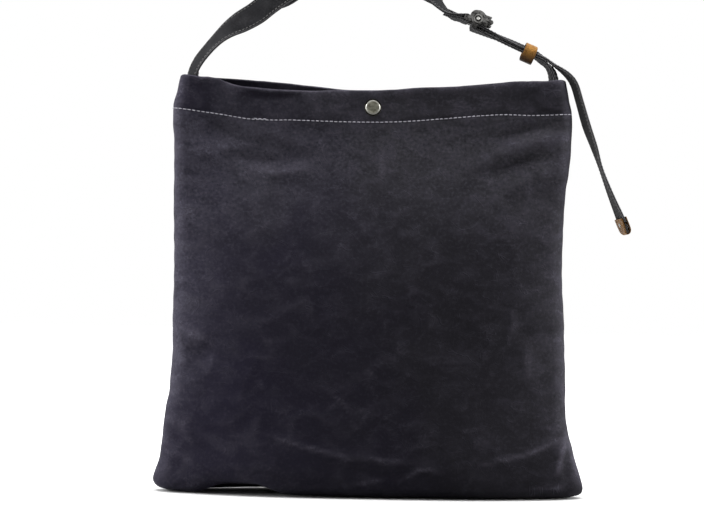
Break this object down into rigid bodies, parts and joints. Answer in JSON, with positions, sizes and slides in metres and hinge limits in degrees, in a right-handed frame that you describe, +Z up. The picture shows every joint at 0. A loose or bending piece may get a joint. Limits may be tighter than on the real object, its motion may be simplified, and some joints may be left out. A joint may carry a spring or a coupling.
{
  "type": "canvas shoulder bag",
  "caption": "Upright waxed-canvas messenger bag with a stitched open mouth, a press stud, and a shoulder strap with a cam buckle, leather keeper and leather-tipped tail.",
  "frame": {"origin": "middle of the base, on the surface that the bag stands on", "axes": "+X to the buckle's side, +Y from the front to the back, +Z up"},
  "size_m": [0.4387, 0.1196, 0.4891],
  "materials": {
    "canvas": "waxed, matte, scuffed",
    "strap_cloth": "folded canvas strap, matte",
    "tan_leather": "vegetable-tanned, satin",
    "nickel": "antique nickel, satin",
    "gunmetal": "dark nickel, worn satin"
  },
  "bodies": {
    "bag": {"back_panel": "canvas", "back_hem": "canvas", "base_panel": "canvas", "side_seam_left": "canvas", "side_seam_right": "canvas", "snap_stud": "nickel", "snap_post": "nickel", "strap_anchor_left": "strap_cloth", "strap_anchor_right": "strap_cloth"},
    "front": {"front_panel": "canvas", "front_hem": "canvas", "snap_cap": "nickel", "snap_socket": "nickel", "snap_spring": "nickel"},
    "strap": {"shoulder_strap": "strap_cloth", "adjuster_strap": "strap_cloth", "buckle_frame": "gunmetal", "buckle_pin": "gunmetal", "end_bar": "gunmetal"},
    "lever": {"buckle_lever": "gunmetal"},
    "keeper": {"strap_keeper": "tan_leather"},
    "tail": {"strap_tail": "strap_cloth", "strap_tip": "tan_leather", "tip_rivet": "nickel"}
  },
  "joints": [
    {"name": "mouth_open", "type": "hinge", "parent": "bag", "child": "front", "pos_m": [0, -0.033, 0.002], "axis": [1, 0, 0], "range_deg": [0, 12]},
    {"name": "strap_swing", "type": "hinge", "parent": "bag", "child": "strap", "pos_m": [0, 0, 0.3991], "axis": [1, 0, 0], "range_deg": [0, 60]},
    {"name": "lever_lift", "type": "hinge", "parent": "strap", "child": "lever", "pos_m": [0.095, 0, 0.44], "axis": [0, -1, 0], "range_deg": [0, 50]},
    {"name": "keeper_slide", "type": "slide", "parent": "strap", "child": "keeper", "axis": [-0.9232, 0, 0.3843], "range_m": [0, 0.015]},
    {"name": "tail_lift", "type": "hinge", "parent": "strap", "child": "tail", "pos_m": [0.15193, 0, 0.41112], "axis": [0, -1, 0], "range_deg": [0, 30]}
  ]
}
